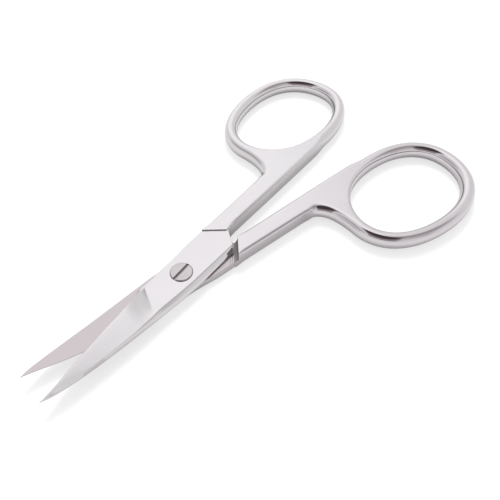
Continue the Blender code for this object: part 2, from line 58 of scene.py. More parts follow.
# Finger ring, measured on the middle line of its bar
RING_HALF_WIDTH = 10.7 * MM
RING_HALF_LENGTH = 14.62 * MM
RING_CENTRE_Y = 47.3 * MM
RING_BAR_WIDTH = 2.84 * MM
RING_TURN_DEG = 1.2
RING_SQUARE_SHARE = 0.013
RING_SKEW_SHARE = 0.008
RING_EGG_SHARE = 0.007
RING_CREST_WIDTH = 0.16 * MM
RING_WALL_HEIGHT = 0.12 * MM

# Shank between the ring and the joint
SHANK_FOOT_WIDTH = 3.62 * MM
SHANK_TOP_WIDTH = 4.1 * MM
SHANK_EDGE_ROUND = 0.8 * MM
SHANK_EDGE_HEIGHT = 0.45 * MM
WEB_EDGE_ROUND = 0.85 * MM
JOIN_EDGE_ROUND = 1.3 * MM
JOIN_EDGE_HEIGHT = 1.64 * MM
JOIN_START_SHARE = 0.3
JOIN_FULL_SHARE = 0.7
CORNER_EDGE_ROUND = 1.7 * MM
CORNER_EDGE_HEIGHT = 1.6 * MM
CORNER_START_DROP = 5.0 * MM
CORNER_REACH = 2.26 * MM
CORNER_RUN_SHARE = 0.87
CORNER_SWELL_POWER = 6.0
RING_JOIN_DEG = 270.0
WEB_MIDDLE_DEG = 212.0
WEB_HALF_DEG = 18.0
WEB_FADE_DEG = 45.0
ROUND_RUN = 4.5 * MM

# Lapped joint: the roof shaped shoulder and the step on the outer face
SHOULDER_APEX_Y = 12.85 * MM
SHOULDER_SLOPE_DEG = 36.5
SHOULDER_CLEARANCE = 0.15 * MM
STEP_APEX_Y = 12.4 * MM
STEP_SLOPE_DEG = 40.5
STEP_DEPTH = 0.25 * MM
STEP_EDGE_ROUND = 0.08 * MM
STEP_EDGE_FADE = 2.5 * MM
RELIEF_DEPTH = 0.05 * MM
RELIEF_WIDTH = 1.5 * MM
SHOULDER_FILLET = 1.15 * MM
ROOT_LENGTH = 0.5 * MM
ROOT_INSET = 0.35 * MM

# Joint plate and blade
BLADE_LENGTH = 30.46 * MM
SPINE_OFFSET = 3.75 * MM
PLATE_SIDE_STEP = 0.03 * MM
PLATE_SIDE_MID = 3.2 * MM
PLATE_SIDE_RUN = 6.0 * MM
HEEL_Y = 6.33 * MM
HEEL_OFFSET = 4.05 * MM
HEEL_FLARE = 1.15 * MM
SPINE_CHAMFER = 0.82 * MM
SPINE_WALL = 0.4 * MM
CHAMFER_MID_SHARE = 0.35
CHAMFER_MID_RISE = 0.55
EDGE_EASE = 0.1 * MM
GRIND_START_Y = 7.55 * MM
GRIND_SLANT = 2.4 * MM
GRIND_BULGE = 0.3 * MM
GRIND_RUN = 4.5 * MM
SPINE_TIP_THICKNESS = 0.3 * MM
EDGE_THICKNESS = 0.07 * MM
TIP_WIDTH = 0.12 * MM
TIP_LIFT = 1.2 * MM
LIFT_START = 11.0 * MM
LIFT_POWER = 2.6

# Shapes of the blade, as shares of its length and of its offsets
SPINE_SHARES = (
    (0.0, 1.0),
    (0.13, 0.94),
    (0.26, 0.845),
    (0.39, 0.74),
    (0.5, 0.65),
    (0.6, 0.56),
    (0.7, 0.475),
    (0.8, 0.37),
    (0.886, 0.26),
    (0.955, 0.14),
    (1.0, 0.0),
)
EDGE_SHARES = (
    (0.0, 1.0),
    (0.11, 0.86),
    (0.24, 0.745),
    (0.37, 0.665),
    (0.495, 0.562),
    (0.62, 0.45),
    (0.75, 0.305),
    (0.86, 0.155),
    (0.95, 0.052),
    (1.0, 0.0),
)
SPINE_THICKNESS_SHARES = (
    (0.0, 1.0),
    (0.3, 0.97),
    (0.55, 0.86),
    (0.8, 0.58),
    (1.0, 0.0),
)
CHAMFER_SHARES = (
    (0.0, 1.0),
    (0.2, 0.9),
    (0.28, 0.6),
    (0.36, 0.36),
    (0.44, 0.16),
    (0.6, 0.08),
    (1.0, 0.0),
)
HOLLOW_POWER = 1.3

# Pivot screw
HEAD_DIAMETER = 4.0 * MM
HEAD_PROUD = 0.25 * MM
HEAD_SUNK = 0.4 * MM
HEAD_CHAMFER = 0.16 * MM
JOURNAL_DIAMETER = 2.6 * MM
THREAD_DIAMETER = 2.1 * MM
SLOT_WIDTH = 0.55 * MM
SLOT_DEPTH = 0.45 * MM
SLOT_TURN_DEG = 99.0
RUN_CLEARANCE = 0.05 * MM
OVERRUN = 1.0 * MM
CUT_OVERLAP = 0.02 * MM

# Fineness of the facets
RING_POINTS = 180
SIDE_POINTS = 24
CORNER_POINTS = 28
ROUND_STEPS = 12
PLATE_ROWS = 12
GRIND_ROWS = 24
BLADE_ROWS = 60
FACE_COLUMNS = 28
ROUND_SIDES = 128
HEAD_STEPS = 8
FOOT_STEPS = 10
STEP_ROUNDS = 20
RING_STEP = math.radians(0.5)

# Joining of the pieces
SHARP_DEG = 30.0
WELD = 0.002 * MM
NORMAL_WEIGHT = 100

# Worked out from the sizes above
HALF_THICKNESS = THICKNESS / 2
PLATE_THICKNESS = HALF_THICKNESS - STEP_DEPTH - FACE_GAP / 2
RING_BAR_HALF = RING_BAR_WIDTH / 2
RING_CENTRE_X = MEETING_GAP / 2 + RING_BAR_HALF + RING_HALF_WIDTH
RING_ROUND = RING_BAR_HALF - RING_CREST_WIDTH / 2
RING_ROUND_HEIGHT = HALF_THICKNESS - RING_WALL_HEIGHT / 2
INNER_X = MEETING_GAP / 2
HALF_OPEN = math.radians(OPEN_ANGLE_DEG / 2)


def blend(points, at):
    """Smooth value at a share along a table of (place, value) shares."""
    if at <= points[0][0]:
        return points[0][1]
    if at >= points[-1][0]:
        return points[-1][1]
    slopes = []
    for index in range(len(points)):
        before = points[max(index - 1, 0)]
        after = points[min(index + 1, len(points) - 1)]
        slopes.append((after[1] - before[1]) / (after[0] - before[0]))
    index = 0
    while points[index + 1][0] < at:
        index += 1
    run = points[index + 1][0] - points[index][0]
    t = (at - points[index][0]) / run
    start = points[index][1]
    end = points[index + 1][1]
    rise = start * (2 * t**3 - 3 * t**2 + 1) + end * (3 * t**2 - 2 * t**3)
    rise += slopes[index] * run * (t**3 - 2 * t**2 + t)
    rise += slopes[index + 1] * run * (t**3 - t**2)
    return rise


def ease(share):
    """Share from 0 to 1 with a gentle start and end."""
    share = min(max(share, 0.0), 1.0)
    return share * share * (3 - 2 * share)


def mixed(first, second, share):
    """Pair of sizes part of the way from one pair to another."""
    across = first[0] + (second[0] - first[0]) * share
    height = first[1] + (second[1] - first[1]) * share
    return across, height


def lift(x, y):
    """Rise of the meeting face towards the tips, alike all round the pivot."""
    reach = math.hypot(x, y) - LIFT_START
    if reach <= 0:
        return 0.0
    return TIP_LIFT * (reach / (BLADE_LENGTH - LIFT_START)) ** LIFT_POWER


def ring_point(angle, offset):
    """Point of the ring, offset outwards from the middle line of its bar."""
    middle = []
    for turn in (angle - RING_STEP, angle, angle + RING_STEP):
        wave = 1 - RING_SQUARE_SHARE * math.cos(4 * turn)
        wave += RING_SKEW_SHARE * math.sin(4 * turn)
        wave += RING_EGG_SHARE * math.sin(3 * turn)
        x = RING_HALF_WIDTH * wave * math.cos(turn)
        y = RING_HALF_LENGTH * wave * math.sin(turn)
        tilt = math.radians(RING_TURN_DEG)
        turned_x = RING_CENTRE_X + x * math.cos(tilt) - y * math.sin(tilt)
        turned_y = RING_CENTRE_Y + x * math.sin(tilt) + y * math.cos(tilt)
        middle.append(Vector((turned_x, turned_y)))
    along = (middle[2] - middle[0]).normalized()
    return middle[1] + Vector((along.y, -along.x)) * offset


def shank_outer_x(y):
    """Outer edge of the shank, from the joint up to the ring."""
    foot = SHOULDER_APEX_Y
    top = RING_CENTRE_Y - RING_HALF_LENGTH
    share = (y - foot) / (top - foot)
    return INNER_X + SHANK_FOOT_WIDTH + (SHANK_TOP_WIDTH - SHANK_FOOT_WIDTH) * share


def plate_roof():
    """Slope of the plate's roof shaped end, and where it would cross X = 0."""
    turn = math.radians(SHOULDER_SLOPE_DEG)
    return math.tan(turn), SHOULDER_APEX_Y - SHOULDER_CLEARANCE / math.cos(turn)


def step_y(x):
    """Height along Y of the step on the outer face."""
    return STEP_APEX_Y - x * math.tan(math.radians(STEP_SLOPE_DEG))


def step_outer_corner():
    """Point where the step meets the outer edge of the shank."""
    x = SHANK_FOOT_WIDTH
    for _ in range(STEP_ROUNDS):
        x = shank_outer_x(step_y(x))
    return Vector((x, step_y(x)))


def bezier(start, first, second, end, share):
    """Point on a cubic curve."""
    rest = 1 - share
    point = start * rest**3 + first * (3 * rest * rest * share)
    return point + second * (3 * rest * share * share) + end * share**3


def outer_outline():
    """Outline of ring and shank, with the edge rounding at each point."""
    points = []
    sharp = (STEP_EDGE_ROUND, STEP_EDGE_ROUND)
    bevel = (SHANK_EDGE_ROUND, SHANK_EDGE_HEIGHT)
    corner_round = (CORNER_EDGE_ROUND, CORNER_EDGE_HEIGHT)
    web = (JOIN_EDGE_ROUND, JOIN_EDGE_HEIGHT)
    full = (RING_ROUND, RING_ROUND_HEIGHT)
    # Outer end of the step, up the outer edge to the corner below the ring
    corner = step_outer_corner()
    ring_foot = RING_CENTRE_Y - RING_HALF_LENGTH - RING_BAR_HALF
    edge_top_y = ring_foot - CORNER_START_DROP
    edge_top = Vector((shank_outer_x(edge_top_y), edge_top_y))
    for index in range(SIDE_POINTS):
        spot = corner.lerp(edge_top, (index / SIDE_POINTS) ** 2)
        points.append((spot, mixed(sharp, bevel, ease((spot - corner).length / STEP_EDGE_FADE))))
    # Corner between the shank and the ring
    join = math.radians(RING_JOIN_DEG)
    ring_start = ring_point(join, RING_BAR_HALF)
    after = ring_point(join + 2 * RING_STEP, RING_BAR_HALF)
    along = (after - ring_start).normalized()
    upward = (edge_top - corner).normalized()
    pull = (ring_start.x - edge_top.x) * CORNER_RUN_SHARE
    first = edge_top + upward * CORNER_REACH
    second = ring_start - along * pull
    for index in range(CORNER_POINTS):
        share = index / CORNER_POINTS
        spot = bezier(edge_top, first, second, ring_start, share)
        swell = ease(4 * share * (1 - share)) ** CORNER_SWELL_POWER
        grow = ease((share - JOIN_START_SHARE) / (JOIN_FULL_SHARE - JOIN_START_SHARE))
        points.append((spot, mixed(mixed(bevel, web, grow), corner_round, swell)))
    # Round the ring to its inner side
    end = 3 * math.pi
    travelled = 0.0
    before = ring_start
    for index in range(RING_POINTS + 1):
        angle = join + (end - join) * index / RING_POINTS
        spot = ring_point(angle, RING_BAR_HALF)
        travelled += (spot - before).length
        before = spot
        points.append((spot, mixed(web, full, ease(travelled / ROUND_RUN))))
    # Down the inner edge, which runs beside the meeting line
    top = points[-1][0]
    foot = Vector((INNER_X, step_y(INNER_X)))
    for index in range(1, SIDE_POINTS * 2):
        share = index / (SIDE_POINTS * 2)
        x = INNER_X + (top.x - INNER_X) * (1 - share) ** 2
        y = top.y + (foot.y - top.y) * share
        fade = ease((top.y - y) / ROUND_RUN)
        edge = mixed(sharp, bevel, ease((y - foot.y) / STEP_EDGE_FADE))
        points.append((Vector((x, y)), mixed(full, edge, fade)))
    points.append((foot, sharp))
    return points


def inner_outline():
    """Outline of the finger opening, with the edge rounding at each point."""
    points = []
    web = (WEB_EDGE_ROUND, RING_ROUND_HEIGHT)
    full = (RING_ROUND, RING_ROUND_HEIGHT)
    for index in range(RING_POINTS):
        angle = 2 * math.pi * index / RING_POINTS
        away = abs(math.degrees(angle) - WEB_MIDDLE_DEG)
        away = min(away, 360 - away)
        grow = ease((away - WEB_HALF_DEG) / WEB_FADE_DEG)
        points.append((ring_point(angle, -RING_BAR_HALF), mixed(web, full, grow)))
    return points


def normals_of(points, outwards):
    """Unit normals of a closed outline."""
    count = len(points)
    result = []
    for index in range(count):
        before = points[index - 1][0]
        after = points[(index + 1) % count][0]
        here = points[index][0]
        first = (here - before).normalized()
        second = (after - here).normalized()
        along = (first + second).normalized()
        result.append(Vector((along.y, -along.x)) * outwards)
    return result


def place(x, y, depth, side, raised=0.0):
    """World point of a place on a half, drawn closed about the pivot."""
    turned_x = x * math.cos(HALF_OPEN) + y * math.sin(HALF_OPEN)
    turned_y = y * math.cos(HALF_OPEN) - x * math.sin(HALF_OPEN)
    return Vector((turned_x * side, turned_y, HALF_THICKNESS - side * depth + raised))


def edge_rings(shape, points, outwards, side):
    """Rings of vertices that round an edge from the outer to the meeting side."""
    normals = normals_of(points, outwards)
    rings = []
    levels = []
    for step in range(ROUND_STEPS, -1, -1):
        levels.append((step, 1))
    for step in range(ROUND_STEPS + 1):
        levels.append((step, -1))
    for step, sign in levels:
        turn = math.pi / 2 * step / ROUND_STEPS
        ring = []
        for (spot, (across, height)), normal in zip(points, normals):
            inset = spot - normal * across * (1 - math.cos(turn))
            depth = HALF_THICKNESS - height + height * math.sin(turn)
            ring.append(shape.verts.new(place(inset.x, inset.y, depth * sign, side)))
        rings.append(ring)
    for upper, lower in zip(rings, rings[1:]):
        count = len(upper)
        for index in range(count):
            other = (index + 1) % count
            shape.faces.new((upper[index], upper[other], lower[other], lower[index]))
    return rings


def close_faces(shape, outer, inner):
    """Flat face between an outer ring of vertices and an inner one."""
    edges = []
    for ring in (outer, inner):
        for index in range(len(ring)):
            edge = shape.edges.get((ring[index], ring[(index + 1) % len(ring)]))
            edges.append(edge)
    bmesh.ops.triangle_fill(shape, use_beauty=True, use_dissolve=False, edges=edges)


def make_handle(name, side):
    """Ring and shank of one half at full thickness."""
    shape = bmesh.new()
    outer = edge_rings(shape, outer_outline(), 1, side)
    inner = edge_rings(shape, inner_outline(), -1, side)
    close_faces(shape, outer[0], inner[0])
    close_faces(shape, outer[-1], inner[-1])
    return finish_shape(shape, name)


def finish_shape(shape, name):
    """Turn a shape into an object with its faces pointing out."""
    bmesh.ops.recalc_face_normals(shape, faces=shape.faces[:])
    mesh = bpy.data.meshes.new(name)
    shape.to_mesh(mesh)
    shape.free()
    thing = bpy.data.objects.new(name, mesh)
    bpy.context.scene.collection.objects.link(thing)
    return thing


def spine_x(y, chamfer=0.0):
    """Spine side of plate and blade, set in by the chamfer there."""
    width = SPINE_OFFSET
    if y < 0:
        width = max(SPINE_OFFSET * blend(SPINE_SHARES, -y / BLADE_LENGTH), TIP_WIDTH / 2)
    return chamfer - width


def edge_x(y):
    """Meeting face edge of plate and blade on the cutting side."""
    corner = step_outer_corner()
    side_top = corner.x - PLATE_SIDE_STEP
    if y > corner.y:
        return side_top - ROOT_INSET * ease((y - corner.y) / (2 * ROOT_INSET))
    if y >= 0:
        return PLATE_SIDE_MID + (side_top - PLATE_SIDE_MID) * ease(y / PLATE_SIDE_RUN)
    if y > -HEEL_Y:
        return PLATE_SIDE_MID + (HEEL_OFFSET - PLATE_SIDE_MID) * ease(-y / HEEL_Y)
    share = (-y - HEEL_Y) / (BLADE_LENGTH - HEEL_Y)
    return max(HEEL_OFFSET * blend(EDGE_SHARES, share), TIP_WIDTH / 2)


def row_places():
    """Middle of each row across plate and blade, from the root to the tip."""
    rows = []
    corner = step_outer_corner()
    slope, apex = plate_roof()
    root = apex + (INNER_X + ROOT_INSET) * slope
    eave = apex - SPINE_OFFSET * slope
    rows.append(root + ROOT_LENGTH)
    rows.append(root)
    for index in range(PLATE_ROWS):
        rows.append(apex + (eave - apex) * index / PLATE_ROWS)
    rows.append(eave)
    rows.append(corner.y)
    for index in range(1, PLATE_ROWS + 1):
        rows.append(corner.y * (1 - index / PLATE_ROWS))
    for index in range(1, GRIND_ROWS + 1):
        rows.append(-GRIND_START_Y * index / GRIND_ROWS)
    rest = BLADE_LENGTH - GRIND_START_Y
    for index in range(1, GRIND_ROWS + 1):
        rows.append(-GRIND_START_Y - GRIND_RUN * index / GRIND_ROWS)
    for index in range(1, BLADE_ROWS + 1):
        share = index / BLADE_ROWS
        rows.append(-GRIND_START_Y - GRIND_RUN - (rest - GRIND_RUN) * share)
    return rows


def thickness_at(y, across, past):
    """Thickness of plate or blade, across from spine (0) to cutting side (1)."""
    if past <= 0:
        return PLATE_THICKNESS
    start = GRIND_START_Y / BLADE_LENGTH
    share = (-y / BLADE_LENGTH - start) / (1 - start)
    spine = SPINE_TIP_THICKNESS
    spine += (PLATE_THICKNESS - SPINE_TIP_THICKNESS) * blend(SPINE_THICKNESS_SHARES, share)
    ground = EDGE_THICKNESS + (spine - EDGE_THICKNESS) * (1 - across) ** HOLLOW_POWER
    short = 1 - min(past / GRIND_RUN, 1.0)
    return PLATE_THICKNESS + (ground - PLATE_THICKNESS) * (1 - short * short)


def blade_row(middle, side):
    """Closed row of world points round the plate or blade."""
    near = math.exp(-(((-middle - GRIND_START_Y) / GRIND_RUN) ** 2))
    if -middle < GRIND_START_Y:
        near *= ease((-middle) / GRIND_START_Y)
    else:
        near *= ease((BLADE_LENGTH + middle) / (BLADE_LENGTH - GRIND_START_Y) / 0.5)

    def spot(across):
        y = middle + near * GRIND_SLANT * (across - 0.5)
        y -= near * GRIND_BULGE * 4 * across * (1 - across)
        return y

    def add(x, y, height):
        row.append((x, y, FACE_GAP / 2 + height, lift(x, y)))

    row = []
    past = -middle - GRIND_START_Y
    chamfer = SPINE_CHAMFER * blend(CHAMFER_SHARES, max(-middle, 0.0) / BLADE_LENGTH)
    chamfer = min(chamfer, (edge_x(middle) + SPINE_OFFSET) / 4)
    flare = 0.0
    if middle < 0:
        flare = HEEL_FLARE * ease(-middle / GRIND_START_Y)
        flare *= 1 - ease(past / GRIND_RUN * 2)
    edge_ease = min(EDGE_EASE, thickness_at(middle, 1, past) / 4)
    # Meeting face, from the cutting side to the spine
    for index in range(FACE_COLUMNS + 1):
        across = 1 - index / FACE_COLUMNS
        y = spot(across)
        left = spine_x(y, EDGE_EASE / 2)
        right = edge_x(y) - edge_ease
        add(left + (right - left) * across, y, 0.0)
    # Spine wall with its eased edge, up to its chamfer
    y = spot(0)
    height = thickness_at(y, 0, past)
    wall = SPINE_WALL + (height - SPINE_WALL) * (1 - chamfer / SPINE_CHAMFER)
    wall = min(wall, height - EDGE_THICKNESS / 2)
    add(spine_x(y), y, min(EDGE_EASE / 2, wall / 4))
    add(spine_x(y), y, wall)
    middle_height = wall + (height - wall) * CHAMFER_MID_RISE
    add(spine_x(y, chamfer * CHAMFER_MID_SHARE), y, middle_height)
    # Outer face, from the chamfer to the cutting side
    for index in range(FACE_COLUMNS + 1):
        across = index / FACE_COLUMNS
        y = spot(across)
        left = spine_x(y, chamfer)
        right = edge_x(y) - flare - edge_ease
        add(left + (right - left) * across, y, thickness_at(y, across, past))
    # Cutting side wall between its eased edges
    y = spot(1)
    height = thickness_at(y, 1, past)
    add(edge_x(y) - flare, y, height - edge_ease)
    add(edge_x(y), y, edge_ease)
    return [place(x, y, depth, side, raised) for x, y, depth, raised in row]


def make_blade(name, side):
    """Plate and blade of one half, from its root in the shank to the tip."""
    shape = bmesh.new()
    rows = []
    for middle in row_places():
        rows.append([shape.verts.new(point) for point in blade_row(middle, side)])
    for upper, lower in zip(rows, rows[1:]):
        count = len(upper)
        for index in range(count):
            other = (index + 1) % count
            shape.faces.new((upper[index], upper[other], lower[other], lower[index]))
    shape.faces.new(rows[0])
    shape.faces.new(rows[-1])
    return finish_shape(shape, name)


def make_shoulder_cutter(name, side):
    """Block that clears the meeting side of the joint below the shoulder."""
    slope = math.tan(math.radians(SHOULDER_SLOPE_DEG))
    reach = RELIEF_WIDTH / math.cos(math.radians(SHOULDER_SLOPE_DEG))
    right = SHANK_TOP_WIDTH + OVERRUN
    left = -OVERRUN
    corners = []
    for x, drop in ((left, 0.0), (right, 0.0), (right, reach), (left, reach)):
        corners.append((x, SHOULDER_APEX_Y - x * slope - drop))
    shape = bmesh.new()
    low = []
    high = []
    for x, y in corners:
        low.append(shape.verts.new(place(x, y, FACE_GAP / 2 + RELIEF_DEPTH, side)))
        high.append(shape.verts.new(place(x, y, -HALF_THICKNESS - OVERRUN, side)))
    shape.faces.new(low)
    shape.faces.new(high)
    for index in range(len(low)):
        other = (index + 1) % len(low)
        shape.faces.new((low[index], low[other], high[other], high[index]))
    return finish_shape(shape, name)


def hollow_round():
    """Profile of the hollow round at the foot of the shoulder, from its top down."""
    run = SHOULDER_FILLET / math.cos(math.radians(SHOULDER_SLOPE_DEG))
    points = []
    for step in range(FOOT_STEPS + 1):
        turn = math.pi / 2 * step / FOOT_STEPS
        points.append((run * (math.cos(turn) - 1), SHOULDER_FILLET * (1 - math.sin(turn))))
    return points


def make_bar(name, side, reach, line, profile):
    """Bar along a sloping line, from (distance along Y, depth) points."""
    apex, slope = line
    shape = bmesh.new()
    ends = []
    for x in reach:
        y = apex + x * slope
        ends.append([shape.verts.new(place(x, y + along, depth, side)) for along, depth in profile])
    count = len(profile)
    for index in range(count):
        other = (index + 1) % count
        shape.faces.new((ends[0][index], ends[0][other], ends[1][other], ends[1][index]))
    shape.faces.new(ends[0])
    shape.faces.new(ends[1])
    return finish_shape(shape, name)


def make_shoulder_foot(name, side):
    """Hollow round at the foot of the shoulder, over the plate."""
    curve = [(along, -height) for along, height in hollow_round()]
    run = -curve[-1][0]
    base = PLATE_THICKNESS / 2
    profile = [(run, base), (run, -SHOULDER_FILLET)] + curve + [(-run, base)]
    slope = math.tan(math.radians(SHOULDER_SLOPE_DEG))
    reach = (INNER_X, step_outer_corner().x - PLATE_SIDE_STEP)
    return make_bar(name, side, reach, (SHOULDER_APEX_Y, -slope), profile)


def make_roof_cutters(name, side):
    """Bars that cut the plate's end to clear the other half's shoulder and its foot."""
    slope, apex = plate_roof()
    far = SPINE_OFFSET + ROOT_LENGTH + OVERRUN
    low = -OVERRUN
    high = HALF_THICKNESS + OVERRUN
    curve = hollow_round()
    start = -SPINE_OFFSET - OVERRUN
    straight = [(0.0, high), (0.0, low), (far, low), (far, high)]
    top = SHOULDER_FILLET + CUT_OVERLAP
    hollow = [(far, top), (CUT_OVERLAP, top)] + curve[1:] + [(curve[-1][0], low), (far, low)]
    return [
        make_bar(name + "_roof", side, (start, INNER_X + ROOT_INSET), (apex, slope), straight),
        make_bar(name + "_hollow", side, (start, 0.0), (apex, slope), hollow),
    ]


def make_turned(name, profile):
    """Solid turned about the pivot from (radius, height) steps."""
    shape = bmesh.new()
    rings = []
    for radius, height in profile:
        ring = []
        for index in range(ROUND_SIDES):
            turn = 2 * math.pi * index / ROUND_SIDES
            spot = (radius * math.cos(turn), radius * math.sin(turn), height)
            ring.append(shape.verts.new(spot))
        rings.append(ring)
    for lower, upper in zip(rings, rings[1:]):
        for index in range(ROUND_SIDES):
            other = (index + 1) % ROUND_SIDES
            shape.faces.new((lower[index], lower[other], upper[other], upper[index]))
    shape.faces.new(rings[0])
    shape.faces.new(rings[-1])
    return finish_shape(shape, name)


def make_slot_cutter(name, floor, top):
    """Bar that cuts the driver slot across the screw head."""
    shape = bmesh.new()
    bmesh.ops.create_cube(shape, size=1.0)
    length = HEAD_DIAMETER + OVERRUN
    height = top - floor
    for vertex in shape.verts:
        vertex.co.x *= length
        vertex.co.y *= SLOT_WIDTH
        vertex.co.z = floor + height * (vertex.co.z + 0.5)
    thing = finish_shape(shape, name)
    thing.rotation_euler = (0.0, 0.0, math.radians(SLOT_TURN_DEG))
    return thing


def combine(target, tool, how):
    """Join or cut the target with a construction solid."""
    modifier = target.modifiers.new(tool.name, "BOOLEAN")
    modifier.operation = how
    modifier.solver = "EXACT"
    modifier.object = tool


def baked(thing):
    """Give a piece the mesh that its modifiers make, and drop them."""
    scene = bpy.context.evaluated_depsgraph_get()
    mesh = bpy.data.meshes.new_from_object(thing.evaluated_get(scene))
    thing.modifiers.clear()
    old = thing.data
    thing.data = mesh
    bpy.data.meshes.remove(old)


def cleaned(thing):
    """Merge the slivers that the cuts leave."""
    shape = bmesh.new()
    shape.from_mesh(thing.data)
    bmesh.ops.remove_doubles(shape, verts=shape.verts, dist=WELD)
    bmesh.ops.dissolve_degenerate(shape, edges=shape.edges, dist=WELD)
    shape.to_mesh(thing.data)
    shape.free()


def dressed(thing, material, body, node):
    """Shade a finished piece, hang it on its body and let it stand for its node."""
    thing.data.materials.clear()
    thing.data.materials.append(material)
    thing.data.shade_smooth()
    thing.data.set_sharp_from_angle(angle=math.radians(SHARP_DEG))
    modifier = thing.modifiers.new("flat_normals", "WEIGHTED_NORMAL")
    modifier.mode = "FACE_AREA"
    modifier.weight = NORMAL_WEIGHT
    modifier.keep_sharp = True
    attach(thing, body)
    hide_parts(node)


def drop_tools(tools):
    """Take the construction solids out of the scene."""
    for tool in tools:
        bpy.data.objects.remove(tool, do_unlink=True)


def at_pivot(thing):
    """Move a piece drawn about the pivot to its place in the part."""
    for vertex in thing.data.vertices:
        vertex.co.y += PIVOT_Y


def make_half(name, side, bore):
    """One half: ring and shank joined to plate and blade, cut for the joint."""
    half = make_handle(name, side)
    blank = make_blade(name + "_blank", side)
    roof = make_roof_cutters(name, side)
    for tool in roof:
        combine(blank, tool, "DIFFERENCE")
    baked(blank)
    drop_tools(roof)
    tools = [
        blank,
        make_shoulder_cutter(name + "_shoulder", side),
        make_turned(name + "_bore", bore),
        make_shoulder_foot(name + "_foot", side),
    ]
    for tool, how in zip(tools, ("UNION", "DIFFERENCE", "DIFFERENCE", "UNION")):
        combine(half, tool, how)
    baked(half)
    drop_tools(tools)
    cleaned(half)
    at_pivot(half)
    return half


# Shapes
PIVOT_Y = frame["record"]["behaviour"]["joints"][0]["pos_m"][1]

PLATE_TOP_Z = THICKNESS - STEP_DEPTH
SEAT_Z = PLATE_TOP_Z - HEAD_SUNK
HEAD_TOP_Z = PLATE_TOP_Z + HEAD_PROUD
REAR_FACE_Z = HALF_THICKNESS - FACE_GAP / 2

rear_half = make_half("rear_half_steel_skin", 1, (
    (THREAD_DIAMETER / 2 + RUN_CLEARANCE, -OVERRUN),
    (THREAD_DIAMETER / 2 + RUN_CLEARANCE, THICKNESS + OVERRUN),
))
front_half = make_half("front_half_steel_skin", -1, (
    (JOURNAL_DIAMETER / 2 + RUN_CLEARANCE, -OVERRUN),
    (JOURNAL_DIAMETER / 2 + RUN_CLEARANCE, SEAT_Z),
    (HEAD_DIAMETER / 2 + RUN_CLEARANCE, SEAT_Z),
    (HEAD_DIAMETER / 2 + RUN_CLEARANCE, THICKNESS + OVERRUN),
))

head = []
for step in range(HEAD_STEPS + 1):
    turn = math.pi / 2 * step / HEAD_STEPS
    head.append((
        HEAD_DIAMETER / 2 - HEAD_CHAMFER * (1 - math.cos(turn)),
        HEAD_TOP_Z - HEAD_CHAMFER * (1 - math.sin(turn)),
    ))
pivot_screw = make_turned("pivot_screw_skin", [
    (THREAD_DIAMETER / 2 - HEAD_CHAMFER, STEP_DEPTH),
    (THREAD_DIAMETER / 2, STEP_DEPTH + HEAD_CHAMFER),
    (THREAD_DIAMETER / 2, REAR_FACE_Z + RUN_CLEARANCE),
    (JOURNAL_DIAMETER / 2, REAR_FACE_Z + RUN_CLEARANCE),
    (JOURNAL_DIAMETER / 2, SEAT_Z + RUN_CLEARANCE),
    (HEAD_DIAMETER / 2, SEAT_Z + RUN_CLEARANCE),
] + head)
slot = make_slot_cutter("slot_cut", HEAD_TOP_Z - SLOT_DEPTH, HEAD_TOP_Z + OVERRUN)
combine(pivot_screw, slot, "DIFFERENCE")
baked(pivot_screw)
drop_tools([slot])
cleaned(pivot_screw)
at_pivot(pivot_screw)


# Materials
class Nodes:
    """Short hand for building a material's nodes."""

    def __init__(self, tree):
        self.tree = tree

    def add(self, kind, **values):
        node = self.tree.nodes.new("ShaderNode" + kind)
        for key, value in values.items():
            self.set(node, key.replace("_", " "), value)
        return node

    def set(self, node, key, value):
        socket = node.inputs[int(key)] if key.isdigit() else node.inputs[key]
        if isinstance(value, bpy.types.NodeSocket):
            self.tree.links.new(value, socket)
        else:
            socket.default_value = value

    def math(self, how, first, second=0.0, third=0.0):
        node = self.tree.nodes.new("ShaderNodeMath")
        node.operation = how
        for index, value in enumerate((first, second, third)):
            self.set(node, str(index), value)
        return node.outputs[0]

    def dot(self, vector, with_what):
        node = self.tree.nodes.new("ShaderNodeVectorMath")
        node.operation = "DOT_PRODUCT"
        self.set(node, "0", vector)
        self.set(node, "1", with_what)
        return node.outputs["Value"]

    def ramp(self, value, low, high, first=0.0, last=1.0, smooth=True):
        node = self.tree.nodes.new("ShaderNodeMapRange")
        node.interpolation_type = "SMOOTHSTEP" if smooth else "LINEAR"
        self.set(node, "Value", value)
        self.set(node, "From Min", low)
        self.set(node, "From Max", high)
        self.set(node, "To Min", first)
        self.set(node, "To Max", last)
        return node.outputs["Result"]

    def mix(self, share, first, second):
        node = self.tree.nodes.new("ShaderNodeMix")
        node.data_type = "RGBA"
        self.set(node, "0", share)
        self.set(node, "6", first)
        self.set(node, "7", second)
        return node.outputs[2]

    def noise(self, where, scale, detail):
        return self.add("TexNoise", Vector=where, Scale=scale, Detail=detail).outputs[0]


# Upward share of a normal from which a face counts as flat, and as wholly flat
FLAT_FROM = 0.86
FLAT_FULL = 0.985

# Fineness per metre and detail of the lines, the clouding and the grain
LINE_SCALE = (9000.0, 420.0, 3000.0)
LINE_DETAIL = 3.0
CLOUD_SCALE = 160.0
CLOUD_DETAIL = 4.0
GRAIN_SCALE = 2600.0
GRAIN_DETAIL = 2.0

# How far lines and clouding sway the tone, from its deep end to its light end
LINE_SHADE = 0.5
CLOUD_SHADE = 0.5
DEEP_END = 0.2
LIGHT_END = 0.8

# How far they sway the roughness, and its least value
LINE_ROUGH = 0.12
CLOUD_ROUGH = 0.08
LEAST_ROUGH = 0.03

# Relief of lines and grain, and the small round that edges are shaded with
GRAIN_SHARE = 0.12
RELIEF_STRENGTH = 0.12
RELIEF_HEIGHT = 0.01 * MM
ARRIS_ROUND = 0.12 * MM
ARRIS_SAMPLES = 6

